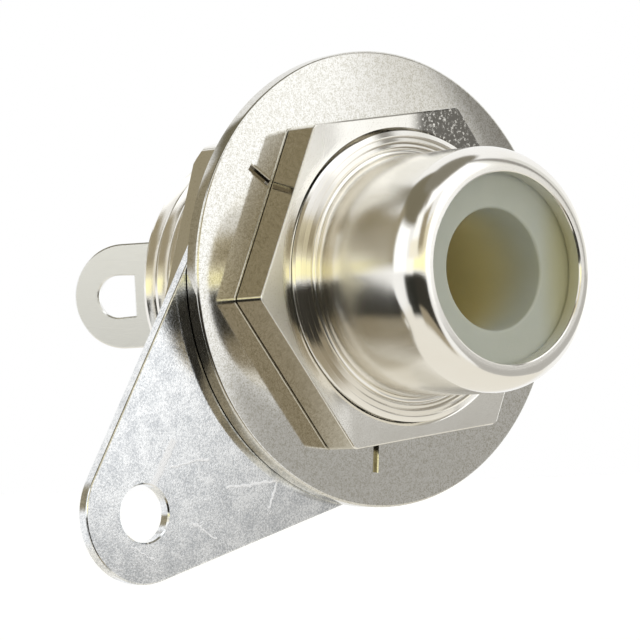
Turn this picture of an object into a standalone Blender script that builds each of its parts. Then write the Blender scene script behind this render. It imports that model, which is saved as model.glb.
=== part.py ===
"""Panel socket for a coaxial phono plug: turned shell, moulded insulator, sprung contact and its fixings.

The socket's axis lies along Y and its mouth faces -Y. The origin is on that axis, in the plane of the
flat washer's back, which is where a panel's front face meets the socket.
"""

import math

import bmesh
import bpy
from mathutils import Matrix, Vector

MM = 0.001

# Clearances, in metres. Neighbours that touch on the real part keep the seat gap.
SEAT_GAP = 0.05 * MM
THREAD_CLEARANCE = 0.05 * MM
WASHER_CLEARANCE = 0.10 * MM
CONTACT_CLEARANCE = 0.08 * MM

# Shell, turned from one bar. The barrel is what a plug's outer sleeve slides over.
BARREL_RADIUS = 4.15 * MM
BARREL_LENGTH = 3.89 * MM
FOOT_RING_RADIUS = 4.29 * MM
FOOT_RING_RISE = 0.065 * MM
SHOULDER_DISH = 0.175 * MM
NOSE_LENGTH = 1.08 * MM
LIP_RADIUS = 3.21 * MM
LIP_LAND = 0.20 * MM
LIP_THICKNESS = 0.55 * MM
LIP_EDGE = 0.06 * MM
SHELL_BORE_RADIUS = 3.6 * MM
THREAD_RADIUS = 5.0 * MM
THREAD_PITCH = 0.70 * MM
THREAD_DEPTH = 0.38 * MM
THREAD_FRONT_EDGE = 0.06 * MM
THREAD_FRONT_STANDOUT = 0.31 * MM
THREAD_REAR_STANDOUT = 2.98 * MM
STAKED_RIM_THICKNESS = 0.48 * MM
STAKED_RIM_OVERLAP = 0.3 * MM

# One turn of the thread as (share of the pitch, share of the depth): a flat crest, then a V groove.
THREAD_PROFILE = ((0.0, 0.0), (0.2, 0.0), (0.6, 1.0))

# Flat washer, with three short radial slots in its front face.
WASHER_RADIUS = 7.9 * MM
WASHER_THICKNESS = 0.6 * MM
WASHER_BEVEL = 0.1 * MM
SLOT_COUNT = 3
SLOT_FIRST_ANGLE = math.radians(26)
SLOT_WIDTH = 0.2 * MM
SLOT_DEPTH = 0.14 * MM
SLOT_LENGTH = 0.96 * MM
SLOT_EDGE_MARGIN = 1.19 * MM

# Hexagon nuts. A corner is 30 degrees round from the middle of each flat beside it.
HEX_SIDES = 6
HEX_HALF_DEGREES = 30
FRONT_SPANNER_WIDTH = 11.1 * MM
REAR_SPANNER_WIDTH = 11.3 * MM
NUT_CORNER_RADIUS = 0.25 * MM
NUT_COUNTERSINK = 0.2 * MM
FRONT_NUT_THICKNESS = 1.4 * MM
FRONT_NUT_ANGLE = math.radians(7)
REAR_NUT_THICKNESS = 3.3 * MM
REAR_NUT_ANGLE = math.radians(13.5)
REAR_NUT_FACE_RADIUS = 6.25 * MM
REAR_NUT_CHAMFER_ANGLE = math.radians(60)

# Ground lug, a teardrop stamped from sheet.
LUG_THICKNESS = 0.45 * MM
LUG_RING_RADIUS = 7.05 * MM
LUG_REACH = 12.57 * MM
LUG_END_RADIUS = 2.36 * MM
LUG_HOLE_RADIUS = 0.97 * MM
LUG_ANGLE = math.radians(-141.5)

# Insulators.
INSULATOR_HOLE_RADIUS = 2.05 * MM
INSULATOR_DISH_DEPTH = 0.12 * MM
INSULATOR_HOLE_EDGE = 0.1 * MM
REAR_INSULATOR_THICKNESS = 1.2 * MM

# Centre contact: a sleeve slit into tines that grip a plug's pin, with a tail riveted over the tab.
CONTACT_BORE_RADIUS = 1.62 * MM
CONTACT_GRIP_RADIUS = 1.5 * MM
CONTACT_RECESS = 5.0 * MM
CONTACT_FLANGE_RADIUS = 2.6 * MM
CONTACT_FLANGE_THICKNESS = 0.45 * MM
CONTACT_FLOOR_THICKNESS = 0.6 * MM
TINE_TAPER = 0.12 * MM
TINE_LENGTH = 4.5 * MM
THROAT_DEPTH = 0.36 * MM
SLIT_WIDTH = 0.4 * MM
SLIT_PAIRS = 2
TAIL_RADIUS = 0.8 * MM
RIVET_RADIUS = 1.15 * MM
RIVET_HEIGHT = 0.35 * MM

# Solder tab: a strip that is bent back from its riveted base, with a D-shaped eye.
TAB_THICKNESS = 0.28 * MM
TAB_HALF_WIDTH = 1.88 * MM
TAB_ANGLE = math.radians(182)
TAB_BEND_START = 1.35 * MM
TAB_BEND_ANGLE = math.radians(55)
TAB_BEND_RADIUS = 0.5 * MM
TAB_LEG_LENGTH = 5.2 * MM
EYE_RADIUS = 0.76 * MM
EYE_FROM_TIP = 0.9 * MM
EYE_FLAT_OFFSET = 0.62 * MM
EYE_FLAT_HALF_WIDTH = 0.73 * MM

# Facet counts.
THREAD_STEPS = 60
BORE_STEPS = 96
ROUND_STEPS = 72
SMALL_STEPS = 40
HALF_ROUND_STEPS = 20
CORNER_STEPS = 4
NOSE_STEPS = 9
SHARP_ANGLE = math.radians(30)

# How far a cutter reaches past what it cuts, and how close points are merged.
CUTTER_MARGIN = 0.5 * MM
MERGE_DISTANCE = 0.0001 * MM

# Heights that follow, from the panel seat towards the mouth.
FRONT_NUT_BOTTOM = WASHER_THICKNESS + SEAT_GAP
FRONT_NUT_TOP = FRONT_NUT_BOTTOM + FRONT_NUT_THICKNESS
THREAD_TOP = FRONT_NUT_TOP + THREAD_FRONT_STANDOUT
BARREL_TOP = THREAD_TOP + BARREL_LENGTH
NOSE_TOP = BARREL_TOP + NOSE_LENGTH
LUG_TOP = -SEAT_GAP
LUG_BOTTOM = LUG_TOP - LUG_THICKNESS
REAR_NUT_TOP = LUG_BOTTOM - SEAT_GAP
REAR_NUT_BOTTOM = REAR_NUT_TOP - REAR_NUT_THICKNESS
THREAD_BOTTOM = REAR_NUT_BOTTOM - THREAD_REAR_STANDOUT
LIP_BOTTOM = NOSE_TOP - LIP_THICKNESS
INSULATOR_TOP = LIP_BOTTOM - SEAT_GAP
REAR_INSULATOR_BOTTOM = THREAD_BOTTOM + STAKED_RIM_THICKNESS + SEAT_GAP
REAR_INSULATOR_TOP = REAR_INSULATOR_BOTTOM + REAR_INSULATOR_THICKNESS
INSULATOR_BOTTOM = REAR_INSULATOR_TOP + SEAT_GAP
FLANGE_BOTTOM = INSULATOR_BOTTOM
FLANGE_TOP = FLANGE_BOTTOM + CONTACT_FLANGE_THICKNESS
CONTACT_TOP = INSULATOR_TOP - CONTACT_RECESS
TAB_TOP = REAR_INSULATOR_BOTTOM - SEAT_GAP
TAB_BOTTOM = TAB_TOP - TAB_THICKNESS
RIVET_TOP = TAB_BOTTOM - SEAT_GAP
RIVET_BOTTOM = RIVET_TOP - RIVET_HEIGHT

# Radii that follow.
NUT_BORE_RADIUS = THREAD_RADIUS + THREAD_CLEARANCE
CLEAR_BORE_RADIUS = THREAD_RADIUS + WASHER_CLEARANCE
INSULATOR_RADIUS = SHELL_BORE_RADIUS - SEAT_GAP
CONTACT_RADIUS = INSULATOR_HOLE_RADIUS - CONTACT_CLEARANCE
TAIL_HOLE_RADIUS = TAIL_RADIUS + SEAT_GAP
SLOT_OUTER_RADIUS = WASHER_RADIUS - SLOT_EDGE_MARGIN
SLOT_INNER_RADIUS = SLOT_OUTER_RADIUS - SLOT_LENGTH


def clear_scene():
    """Removes whatever the scene holds."""
    for old in list(bpy.data.objects):
        bpy.data.objects.remove(old, do_unlink=True)


def make_material(name, colour, roughness, metallic):
    """Makes a plain Principled material."""
    material = bpy.data.materials.new(name)
    material.use_nodes = True
    shader = material.node_tree.nodes["Principled BSDF"]
    shader.inputs["Base Color"].default_value = (*colour, 1.0)
    shader.inputs["Roughness"].default_value = roughness
    shader.inputs["Metallic"].default_value = metallic
    return material


def arc(centre, radii, start_degrees, end_degrees, steps):
    """Points of an arc or a quarter of an ellipse, both ends included."""
    points = []
    for step in range(steps + 1):
        angle = math.radians(start_degrees + (end_degrees - start_degrees) * step / steps)
        points.append((centre[0] + radii[0] * math.cos(angle), centre[1] + radii[1] * math.sin(angle)))
    return points


def finish_mesh(name, bm, material, axis_frame):
    """Turns a bmesh into a named object that hangs from the socket's axis."""
    bmesh.ops.recalc_face_normals(bm, faces=bm.faces)
    mesh = bpy.data.meshes.new(name)
    bm.to_mesh(mesh)
    bm.free()
    mesh.shade_smooth()
    mesh.set_sharp_from_angle(angle=SHARP_ANGLE)
    piece = bpy.data.objects.new(name, mesh)
    bpy.context.collection.objects.link(piece)
    piece.parent = axis_frame
    if material:
        mesh.materials.append(material)
    return piece


def turned(name, outline, steps, material, axis_frame):
    """Spins an outline of (radius, height) points about the axis.

    An outline that starts and ends on the axis gives a solid; any other is closed into a ring.
    """
    bm = bmesh.new()
    verts = [bm.verts.new((radius, 0.0, height)) for radius, height in outline]
    edges = [bm.edges.new(pair) for pair in zip(verts, verts[1:])]
    if outline[0][0] > 0.0:
        edges.append(bm.edges.new((verts[-1], verts[0])))
    bmesh.ops.spin(
        bm,
        geom=verts + edges,
        cent=(0.0, 0.0, 0.0),
        axis=(0.0, 0.0, 1.0),
        angle=math.tau,
        steps=steps,
        use_merge=True,
    )
    bmesh.ops.remove_doubles(bm, verts=bm.verts, dist=MERGE_DISTANCE)
    return finish_mesh(name, bm, material, axis_frame)


def turn_height(radius, height, step):
    """A point at one of the thread's steps round the axis."""
    angle = math.tau * step / THREAD_STEPS
    return radius * math.cos(angle), radius * math.sin(angle), height


def level_row(radius, height):
    """A row of points round the axis at one height."""
    return [turn_height(radius, height, step) for step in range(THREAD_STEPS)]


def groove_depth(turns):
    """How deep the thread's profile is, a number of turns on from the start of a crest."""
    share = turns % 1.0
    ends = THREAD_PROFILE[1:] + ((1.0, THREAD_PROFILE[0][1]),)
    for (start, here), (end, after) in zip(THREAD_PROFILE, ends):
        if share <= end:
            return THREAD_DEPTH * (here + (after - here) * (share - start) / (end - start))
    return 0.0


def make_thread():
    """Rows of the right-hand thread, from its chamfered rear end to its front end."""
    turns = math.ceil((THREAD_TOP - THREAD_BOTTOM) / THREAD_PITCH) + 1
    starts = [turn + share for turn in range(turns) for share, _ in THREAD_PROFILE] + [turns]
    rows = []
    for start in starts:
        row = []
        for step in range(THREAD_STEPS):
            climb = (start - 1 + step / THREAD_STEPS) * THREAD_PITCH
            height = min(max(THREAD_BOTTOM + climb, THREAD_BOTTOM), THREAD_TOP)
            along = height - THREAD_BOTTOM
            radius = THREAD_RADIUS - groove_depth(along / THREAD_PITCH - step / THREAD_STEPS)
            rear_limit = THREAD_RADIUS - THREAD_DEPTH + along
            front_limit = THREAD_RADIUS - max(THREAD_FRONT_EDGE - (THREAD_TOP - height), 0.0)
            row.append(turn_height(min(radius, rear_limit, front_limit), height, step))
        rows.append(row)
    return rows


def screwed(name, thread, profile, material, axis_frame):
    """Closes a thread's rows and a profile of (radius, height) points into one ring.

    Each row of the thread climbs one pitch on its way round, so its last point meets the first point
    of the row that lies one pitch further on.
    """
    bm = bmesh.new()
    rows = thread + [level_row(radius, height) for radius, height in profile]
    verts = [[bm.verts.new(point) for point in row] for row in rows]
    thread_end = len(thread) - 1
    for index in range(len(rows)):
        above = (index + 1) % len(rows)
        for step in range(THREAD_STEPS):
            beside = (step + 1) % THREAD_STEPS
            lower, upper = index, above
            if beside == 0 and index < thread_end:
                lower = min(index + len(THREAD_PROFILE), thread_end)
                upper = min(above + len(THREAD_PROFILE), thread_end)
            corners = [verts[index][step], verts[lower][beside], verts[upper][beside], verts[above][step]]
            bm.faces.new(dict.fromkeys(corners))
    bmesh.ops.remove_doubles(bm, verts=bm.verts, dist=MERGE_DISTANCE)
    return finish_mesh(name, bm, material, axis_frame)


def extruded(name, outline, bottom, top, material, axis_frame):
    """Raises a closed outline of (x, y) points from one height to another."""
    bm = bmesh.new()
    face = bm.faces.new([bm.verts.new((x, y, bottom)) for x, y in outline])
    raised = bmesh.ops.extrude_face_region(bm, geom=[face])["geom"]
    lifted = [item for item in raised if isinstance(item, bmesh.types.BMVert)]
    bmesh.ops.translate(bm, verts=lifted, vec=(0.0, 0.0, top - bottom))
    return finish_mesh(name, bm, material, axis_frame)


def cut(piece, cutter, name):
    """Cuts one object out of another and leaves the cutter as a guide."""
    cutter.hide_render = True
    cutter.display_type = "WIRE"
    boolean = piece.modifiers.new(name, "BOOLEAN")
    boolean.operation = "DIFFERENCE"
    boolean.solver = "EXACT"
    boolean.object = cutter


def make_shell(material, axis_frame):
    """The one-piece shell: nose, barrel, threaded body and staked rear rim."""
    land_radius = LIP_RADIUS + LIP_LAND
    foot_height = THREAD_TOP - SHOULDER_DISH
    foot = [
        (FOOT_RING_RADIUS, foot_height),
        (BARREL_RADIUS, foot_height + FOOT_RING_RISE),
    ]
    nose = arc(
        (land_radius, BARREL_TOP),
        (BARREL_RADIUS - land_radius, NOSE_LENGTH),
        0,
        90,
        NOSE_STEPS,
    )
    bore = [
        (LIP_RADIUS + LIP_EDGE, NOSE_TOP),
        (LIP_RADIUS, NOSE_TOP - LIP_EDGE),
        (LIP_RADIUS, LIP_BOTTOM),
        (SHELL_BORE_RADIUS, LIP_BOTTOM),
        (SHELL_BORE_RADIUS, THREAD_BOTTOM + STAKED_RIM_THICKNESS),
        (SHELL_BORE_RADIUS - STAKED_RIM_OVERLAP, THREAD_BOTTOM + STAKED_RIM_THICKNESS),
        (SHELL_BORE_RADIUS - STAKED_RIM_OVERLAP, THREAD_BOTTOM),
    ]
    return screwed("shell", make_thread(), foot + nose + bore, material, axis_frame)


def make_insulator(material, axis_frame):
    """The moulded sleeve that fills the shell, with a dished face and the pin's hole."""
    counterbore_radius = CONTACT_FLANGE_RADIUS + SEAT_GAP
    counterbore_top = FLANGE_TOP + SEAT_GAP
    hole_top = INSULATOR_TOP - INSULATOR_DISH_DEPTH
    outline = [
        (counterbore_radius, INSULATOR_BOTTOM),
        (INSULATOR_RADIUS, INSULATOR_BOTTOM),
        (INSULATOR_RADIUS, INSULATOR_TOP),
        (LIP_RADIUS, INSULATOR_TOP),
        (INSULATOR_HOLE_RADIUS + INSULATOR_HOLE_EDGE, hole_top),
        (INSULATOR_HOLE_RADIUS, hole_top - INSULATOR_HOLE_EDGE),
        (INSULATOR_HOLE_RADIUS, counterbore_top),
        (counterbore_radius, counterbore_top),
    ]
    return turned("insulator", outline, ROUND_STEPS, material, axis_frame)


def make_rear_insulator(material, axis_frame):
    """The disc that traps the contact's flange and carries the solder tab."""
    outline = [
        (TAIL_HOLE_RADIUS, REAR_INSULATOR_BOTTOM),
        (INSULATOR_RADIUS, REAR_INSULATOR_BOTTOM),
        (INSULATOR_RADIUS, REAR_INSULATOR_TOP),
        (TAIL_HOLE_RADIUS, REAR_INSULATOR_TOP),
    ]
    return turned("rear_insulator", outline, ROUND_STEPS, material, axis_frame)


def make_contact(material, axis_frame):
    """The sprung sleeve with crossed slits, its flange and its riveted tail."""
    bore_bottom = FLANGE_TOP + CONTACT_FLOOR_THICKNESS
    tip_radius = CONTACT_RADIUS - TINE_TAPER
    rivet_edge = RIVET_HEIGHT / 2
    outline = [
        (0.0, RIVET_BOTTOM),
        (RIVET_RADIUS - rivet_edge, RIVET_BOTTOM),
        (RIVET_RADIUS, RIVET_BOTTOM + rivet_edge),
        (RIVET_RADIUS, RIVET_TOP),
        (TAIL_RADIUS, RIVET_TOP),
        (TAIL_RADIUS, FLANGE_BOTTOM),
        (CONTACT_FLANGE_RADIUS, FLANGE_BOTTOM),
        (CONTACT_FLANGE_RADIUS, FLANGE_TOP),
        (CONTACT_RADIUS, FLANGE_TOP),
        (CONTACT_RADIUS, CONTACT_TOP - TINE_LENGTH),
        (tip_radius, CONTACT_TOP),
        (tip_radius - TINE_TAPER, CONTACT_TOP),
        (CONTACT_GRIP_RADIUS, CONTACT_TOP - THROAT_DEPTH),
        (CONTACT_BORE_RADIUS, CONTACT_TOP - TINE_LENGTH),
        (CONTACT_BORE_RADIUS, bore_bottom),
        (0.0, bore_bottom),
    ]
    contact = turned("centre_contact", outline, SMALL_STEPS, material, axis_frame)
    reach = CONTACT_RADIUS + CUTTER_MARGIN
    for index in range(SLIT_PAIRS):
        angle = math.pi * (index + 0.5) / SLIT_PAIRS
        slit = extruded(
            f"slit_cutter_{index + 1}",
            turned_strip(-reach, reach, SLIT_WIDTH, angle),
            CONTACT_TOP - TINE_LENGTH,
            CONTACT_TOP + CUTTER_MARGIN,
            None,
            axis_frame,
        )
        cut(contact, slit, f"slit {index + 1}")
    return contact


def turn_point(point, angle):
    """An (x, y) point turned about the axis."""
    turned_point = Matrix.Rotation(angle, 2) @ Vector(point)
    return turned_point.x, turned_point.y


def turned_strip(start, end, width, angle):
    """Corners of a strip that runs outward from the axis in the direction of an angle."""
    corners = [(start, -width / 2), (end, -width / 2), (end, width / 2), (start, width / 2)]
    return [turn_point(corner, angle) for corner in corners]


def hexagon_corner_distance(spanner_width):
    """How far a hexagon's sharp corners lie from its middle."""
    return spanner_width / 2 / math.cos(math.radians(HEX_HALF_DEGREES))


def make_nut(name, spanner_width, bottom, top, angle, material, axis_frame):
    """A hexagon nut with rounded corners, a clear bore and a countersink at each face."""
    corner_inset = NUT_CORNER_RADIUS / math.cos(math.radians(HEX_HALF_DEGREES))
    centre_distance = hexagon_corner_distance(spanner_width) - corner_inset
    outline = []
    for corner in range(HEX_SIDES):
        corner_angle = angle + corner * math.tau / HEX_SIDES
        centre = (centre_distance * math.cos(corner_angle), centre_distance * math.sin(corner_angle))
        corner_degrees = math.degrees(corner_angle)
        radii = (NUT_CORNER_RADIUS, NUT_CORNER_RADIUS)
        start, end = corner_degrees - HEX_HALF_DEGREES, corner_degrees + HEX_HALF_DEGREES
        outline += arc(centre, radii, start, end, CORNER_STEPS)
    nut = extruded(name, outline, bottom, top, material, axis_frame)
    sink_radius = NUT_BORE_RADIUS + NUT_COUNTERSINK
    bore = turned(
        f"{name}_bore_cutter",
        [
            (0.0, bottom - CUTTER_MARGIN),
            (sink_radius, bottom - CUTTER_MARGIN),
            (sink_radius, bottom),
            (NUT_BORE_RADIUS, bottom + NUT_COUNTERSINK),
            (NUT_BORE_RADIUS, top - NUT_COUNTERSINK),
            (sink_radius, top),
            (sink_radius, top + CUTTER_MARGIN),
            (0.0, top + CUTTER_MARGIN),
        ],
        BORE_STEPS,
        None,
        axis_frame,
    )
    cut(nut, bore, "threaded bore")
    return nut


def make_rear_nut(material, axis_frame):
    """The back nut, whose far face is turned down to a chamfered circle."""
    nut = make_nut(
        "rear_nut", REAR_SPANNER_WIDTH, REAR_NUT_BOTTOM, REAR_NUT_TOP, REAR_NUT_ANGLE, material, axis_frame
    )
    outer_radius = hexagon_corner_distance(REAR_SPANNER_WIDTH) + CUTTER_MARGIN
    slope = math.tan(REAR_NUT_CHAMFER_ANGLE)
    below = REAR_NUT_BOTTOM - CUTTER_MARGIN
    chamfer = turned(
        "rear_nut_chamfer_cutter",
        [
            (REAR_NUT_FACE_RADIUS - CUTTER_MARGIN / slope, below),
            (outer_radius, below),
            (outer_radius, REAR_NUT_BOTTOM + (outer_radius - REAR_NUT_FACE_RADIUS) * slope),
        ],
        BORE_STEPS,
        None,
        axis_frame,
    )
    cut(nut, chamfer, "chamfered corners")
    return nut


def make_washer(material, axis_frame):
    """The flat washer: bevelled front edge and short radial slots."""
    outline = [
        (CLEAR_BORE_RADIUS, 0.0),
        (WASHER_RADIUS, 0.0),
        (WASHER_RADIUS, WASHER_THICKNESS - WASHER_BEVEL),
        (WASHER_RADIUS - WASHER_BEVEL, WASHER_THICKNESS),
        (CLEAR_BORE_RADIUS, WASHER_THICKNESS),
    ]
    washer = turned("flat_washer", outline, BORE_STEPS, material, axis_frame)
    for index in range(SLOT_COUNT):
        angle = SLOT_FIRST_ANGLE + index * math.tau / SLOT_COUNT
        slot = extruded(
            f"washer_slot_cutter_{index + 1}",
            turned_strip(SLOT_INNER_RADIUS, SLOT_OUTER_RADIUS, SLOT_WIDTH, angle),
            WASHER_THICKNESS - SLOT_DEPTH,
            WASHER_THICKNESS + CUTTER_MARGIN,
            None,
            axis_frame,
        )
        cut(washer, slot, f"radial slot {index + 1}")
    return washer


def make_lug(material, axis_frame):
    """The teardrop ground lug, with the shell's hole and a wire's hole."""
    taper = math.degrees(math.asin((LUG_RING_RADIUS - LUG_END_RADIUS) / LUG_REACH))
    flank = 90 - taper
    ring = arc((0.0, 0.0), (LUG_RING_RADIUS, LUG_RING_RADIUS), flank, 360 - flank, ROUND_STEPS)
    end = arc((LUG_REACH, 0.0), (LUG_END_RADIUS, LUG_END_RADIUS), -flank, flank, HALF_ROUND_STEPS)
    outline = [turn_point(point, LUG_ANGLE) for point in ring + end]
    lug = extruded("ground_lug", outline, LUG_BOTTOM, LUG_TOP, material, axis_frame)
    for name, x, radius, steps in (
        ("lug_bore_cutter", 0.0, CLEAR_BORE_RADIUS, BORE_STEPS),
        ("lug_hole_cutter", LUG_REACH, LUG_HOLE_RADIUS, SMALL_STEPS),
    ):
        circle = arc((x, 0.0), (radius, radius), 0, 360, steps)[:-1]
        hole = extruded(
            name,
            [turn_point(point, LUG_ANGLE) for point in circle],
            LUG_BOTTOM - CUTTER_MARGIN,
            LUG_TOP + CUTTER_MARGIN,
            None,
            axis_frame,
        )
        cut(lug, hole, name.replace("_cutter", ""))
    return lug


def bend_strip(bm):
    """Rolls a flat strip that lies along X round a bend line, down and away from its base."""
    bend_length = TAB_BEND_ANGLE * TAB_BEND_RADIUS
    stations = [TAB_BEND_START + bend_length * step / CORNER_STEPS for step in range(CORNER_STEPS + 1)]
    for station in stations:
        geometry = bm.verts[:] + bm.edges[:] + bm.faces[:]
        bmesh.ops.bisect_plane(bm, geom=geometry, plane_co=(station, 0.0, 0.0), plane_no=(1.0, 0.0, 0.0))
    pivot_height = (TAB_TOP + TAB_BOTTOM) / 2 - TAB_BEND_RADIUS
    for vert in bm.verts:
        along = vert.co.x - TAB_BEND_START
        if along <= 0.0:
            continue
        angle = min(along / TAB_BEND_RADIUS, TAB_BEND_ANGLE)
        straight = max(along - bend_length, 0.0)
        radius = vert.co.z - pivot_height
        vert.co.x = TAB_BEND_START + radius * math.sin(angle) + straight * math.cos(angle)
        vert.co.z = pivot_height + radius * math.cos(angle) - straight * math.sin(angle)


def make_tab(material, axis_frame):
    """The solder tab, stamped flat with its rivet hole and D-shaped eye and then bent."""
    length = TAB_BEND_START + TAB_BEND_ANGLE * TAB_BEND_RADIUS + TAB_LEG_LENGTH
    tip_centre = length - TAB_HALF_WIDTH
    base = arc((0.0, 0.0), (TAB_HALF_WIDTH, TAB_HALF_WIDTH), 90, 270, HALF_ROUND_STEPS)
    tip = arc((tip_centre, 0.0), (TAB_HALF_WIDTH, TAB_HALF_WIDTH), -90, 90, HALF_ROUND_STEPS)
    eye_centre = length - EYE_FROM_TIP - EYE_RADIUS
    flat_x = eye_centre - EYE_FLAT_OFFSET
    round_side = arc((eye_centre, 0.0), (EYE_RADIUS, EYE_RADIUS), -90, 90, HALF_ROUND_STEPS)
    eye = round_side + [(flat_x, EYE_FLAT_HALF_WIDTH), (flat_x, -EYE_FLAT_HALF_WIDTH)]
    rivet_hole = arc((0.0, 0.0), (TAIL_HOLE_RADIUS, TAIL_HOLE_RADIUS), 0, 360, SMALL_STEPS)[:-1]

    blank = extruded("solder_tab", base + tip, TAB_BOTTOM, TAB_TOP, material, axis_frame)
    holes = []
    for name, outline in (("tab_rivet_cutter", rivet_hole), ("tab_eye_cutter", eye)):
        hole = extruded(name, outline, TAB_BOTTOM - CUTTER_MARGIN, TAB_TOP + CUTTER_MARGIN, None, axis_frame)
        cut(blank, hole, name.replace("_cutter", ""))
        holes.append(hole)
    bpy.context.view_layer.update()
    stamped = blank.evaluated_get(bpy.context.evaluated_depsgraph_get())
    bm = bmesh.new()
    bm.from_mesh(stamped.to_mesh())
    stamped.to_mesh_clear()
    blank.modifiers.clear()
    for hole in holes:
        bpy.data.objects.remove(hole, do_unlink=True)
    bend_strip(bm)
    bmesh.ops.recalc_face_normals(bm, faces=bm.faces)
    bm.to_mesh(blank.data)
    bm.free()
    blank.data.set_sharp_from_angle(angle=SHARP_ANGLE)
    blank.rotation_euler = (0.0, 0.0, TAB_ANGLE)
    return blank


def build():
    """Makes every piece of the socket."""
    clear_scene()
    nickel = make_material("nickel_plate", (0.72, 0.70, 0.64), 0.22, 1.0)
    washer_plate = make_material("washer_plate", (0.70, 0.69, 0.64), 0.28, 1.0)
    tinned = make_material("tinned_sheet", (0.74, 0.75, 0.76), 0.38, 1.0)
    nylon = make_material("natural_nylon", (0.55, 0.57, 0.50), 0.55, 0.0)
    board = make_material("rear_board", (0.42, 0.30, 0.18), 0.6, 0.0)

    # Local +Z runs towards the mouth, local +X to the right and local +Y up.
    axis_frame = bpy.data.objects.new("socket_axis", None)
    axis_frame.rotation_euler = (math.radians(90), 0.0, 0.0)
    bpy.context.collection.objects.link(axis_frame)

    make_shell(nickel, axis_frame)
    make_insulator(nylon, axis_frame)
    make_rear_insulator(board, axis_frame)
    make_contact(tinned, axis_frame)
    make_tab(tinned, axis_frame)
    make_washer(washer_plate, axis_frame)
    make_nut(
        "front_nut", FRONT_SPANNER_WIDTH, FRONT_NUT_BOTTOM, FRONT_NUT_TOP, FRONT_NUT_ANGLE, nickel, axis_frame
    )
    make_lug(tinned, axis_frame)
    make_rear_nut(nickel, axis_frame)


build()
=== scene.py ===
"""Looks of the panel socket for a coaxial phono plug.

Every piece is built in the socket's own axes, in millimetres: x to the right and y up, seen from the
mouth, and the height along the axis from the panel seat towards the mouth. to_frame() turns these
axes into the frame's, where the mouth faces -Y, and millimetres into metres. Heights, outer radii and
the bores that fit the shell come from the frame.
"""

import math

import bmesh
import bpy
from mathutils import Matrix, Vector


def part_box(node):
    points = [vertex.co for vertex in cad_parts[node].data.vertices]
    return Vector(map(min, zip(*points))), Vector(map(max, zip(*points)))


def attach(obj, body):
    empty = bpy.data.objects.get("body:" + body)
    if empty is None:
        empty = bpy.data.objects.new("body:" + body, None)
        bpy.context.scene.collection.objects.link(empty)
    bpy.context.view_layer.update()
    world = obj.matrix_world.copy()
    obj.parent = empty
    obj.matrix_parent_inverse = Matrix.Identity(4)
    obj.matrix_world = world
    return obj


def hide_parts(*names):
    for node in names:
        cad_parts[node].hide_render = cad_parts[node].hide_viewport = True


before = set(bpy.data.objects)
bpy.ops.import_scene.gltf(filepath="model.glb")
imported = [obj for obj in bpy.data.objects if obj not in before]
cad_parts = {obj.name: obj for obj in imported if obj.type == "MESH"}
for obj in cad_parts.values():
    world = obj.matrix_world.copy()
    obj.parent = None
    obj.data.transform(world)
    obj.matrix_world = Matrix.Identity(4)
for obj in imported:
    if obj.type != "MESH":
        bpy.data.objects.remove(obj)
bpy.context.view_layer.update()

MM = 0.001

# Camera: its place, the way it looks, its roll, its lens and sensor, and where its view starts.
CAMERA_PLACE = (-87.674, -107.498, -6.219)
CAMERA_LOOK = (0.62179, 0.7824, 0.03503)
CAMERA_ROLL = math.radians(-1.595)
CAMERA_LENS = 225.0
CAMERA_SENSOR = 36.0
CAMERA_NEAR = 10.0

# Floor. Its glow makes it white for the camera alone.
FLOOR_HEIGHT = -14.0
FLOOR_HALF_SIZE = 900.0
FLOOR_GLOW = 0.42

# Facets round the axis, a small hole, the nose and small edges, and bands along the barrel.
ROUND_STEPS = 240
HOLE_STEPS = 96
NOSE_STEPS = 40
HOLE_EDGE_STEPS = 6
WASHER_EDGE_STEPS = 5
BARREL_BANDS = 8

# Thread. Its profile is its depth at equal steps along one pitch, as shares of the whole depth.
PITCH = 0.70
THREAD_DEPTH = 0.38
THREAD_PROFILE = (0.02, 0.0, 0.02, 0.25, 0.55, 0.86, 1.0, 0.86, 0.55, 0.22)
THREAD_ROWS = len(THREAD_PROFILE)
NUT_THREAD_DEPTH = 0.26

# Shell. The nose is a quarter of an ellipse that stops a little before the lip's flat.
BARREL_RADIUS = 4.15
BARREL_LENGTH = 3.89
NOSE_LENGTH = 1.08
NOSE_ARC_DEGREES = 88

# Rings that a tool left on the shoulder, from the thread inward, and the rolled ring at the barrel's foot:
# (radius, drop below the thread's front end).
SHOULDER_RINGS = (
    (5.00, 0.14),
    (4.84, 0.045),
    (4.828, 0.045),
    (4.80, 0.12),
    (4.64, 0.03),
    (4.628, 0.03),
    (4.60, 0.11),
    (4.46, 0.02),
    (4.448, 0.02),
    (4.42, 0.13),
    (4.37, 0.15),
    (4.365, 0.115),
    (4.35, 0.08),
    (4.325, 0.05),
    (4.29, 0.03),
    (4.25, 0.022),
    (4.21, 0.03),
    (4.175, 0.05),
    (4.15, 0.08),
)
THREAD_END_DROP = 0.16

# Lip, bore and staked rear rim.
LIP_RADIUS = 3.21
LIP_LAND = 0.20
LIP_THICKNESS = 0.55
LIP_EDGE = 0.06
SHELL_BORE_RADIUS = 3.6
STAKED_RIM_THICKNESS = 0.48
STAKED_RIM_OVERLAP = 0.3
STAKED_RIM_EDGE = 0.06

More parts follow.
